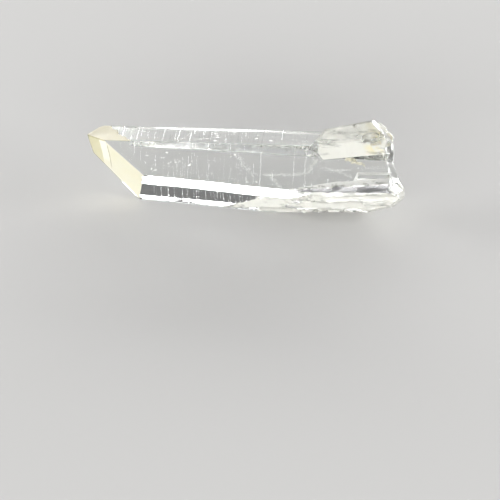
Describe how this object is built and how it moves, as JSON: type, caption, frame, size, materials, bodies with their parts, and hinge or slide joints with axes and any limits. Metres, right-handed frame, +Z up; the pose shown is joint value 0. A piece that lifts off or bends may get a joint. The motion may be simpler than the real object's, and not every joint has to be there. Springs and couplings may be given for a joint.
{
  "type": "quartz crystal",
  "caption": "Clear quartz crystal lying on a prism face, with a slanted point at one end and smaller crystals grown into its broken root.",
  "frame": {"origin": "bottom centre of the crystal's bounding box, on the surface it lies on", "axes": "+X along the crystal from its point to its broken root, +Y to the back, +Z up"},
  "size_m": [0.041, 0.0126, 0.0132],
  "materials": {
    "clear_quartz": "natural crystal faces, clear inside, frosty and cream at the root and the point"
  },
  "bodies": {
    "root": {"quartz_crystal": "clear_quartz"}
  },
  "joints": []
}
